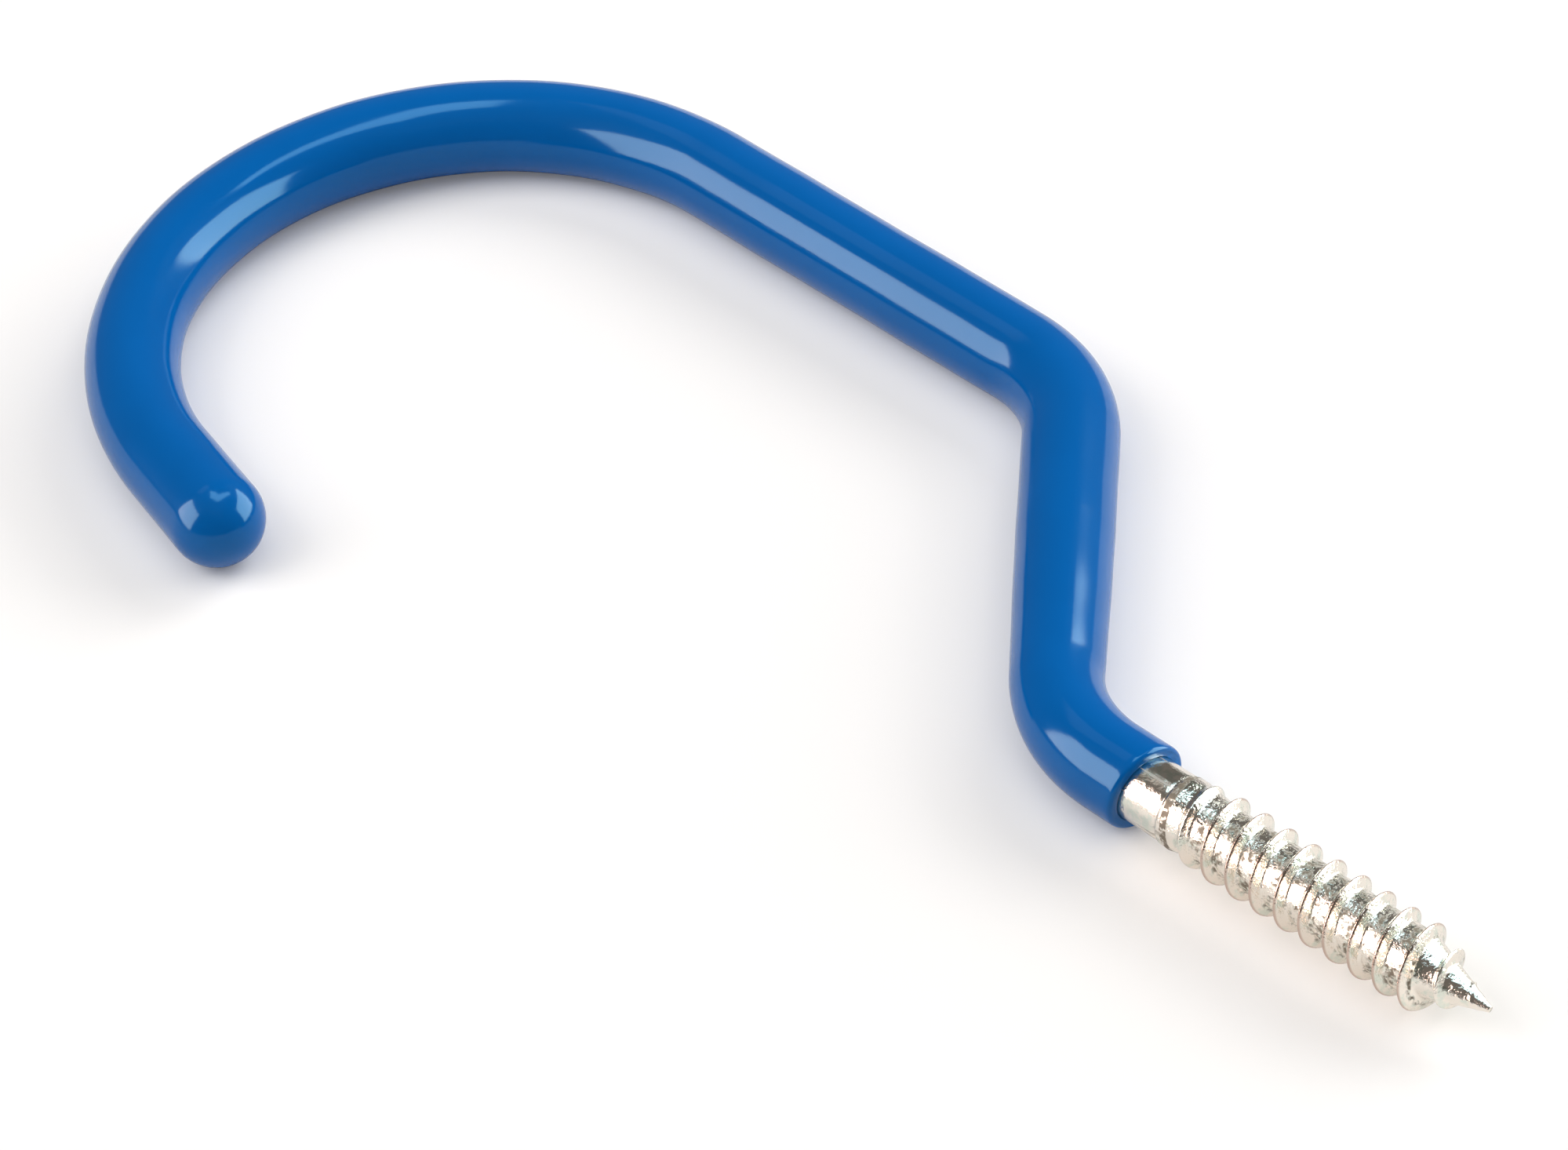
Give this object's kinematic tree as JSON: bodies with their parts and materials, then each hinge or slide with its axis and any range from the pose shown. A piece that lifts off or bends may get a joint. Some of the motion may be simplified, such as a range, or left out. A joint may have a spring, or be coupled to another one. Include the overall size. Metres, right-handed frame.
{
  "type": "bicycle storage hook",
  "caption": "Screw-in storage hook: a steel rod with a wood-screw thread, a cranked neck and a round bowl, covered with blue vinyl up to the thread.",
  "frame": {"origin": "on the screw's axis, in the plane of the sleeve's mouth", "axes": "+X along the screw towards its point, +Y from the screw's axis towards the hook's top run, +Z square to the plane of the bends"},
  "size_m": [0.169, 0.0767, 0.0094],
  "materials": {
    "zinc_steel": "bright zinc plating, a little mottled where the thread was rolled",
    "blue_vinyl": "soft vinyl with a smooth gloss and a faint orange-peel"
  },
  "bodies": {
    "root": {"steel_rod": "zinc_steel", "vinyl_sleeve": "blue_vinyl"}
  },
  "joints": []
}
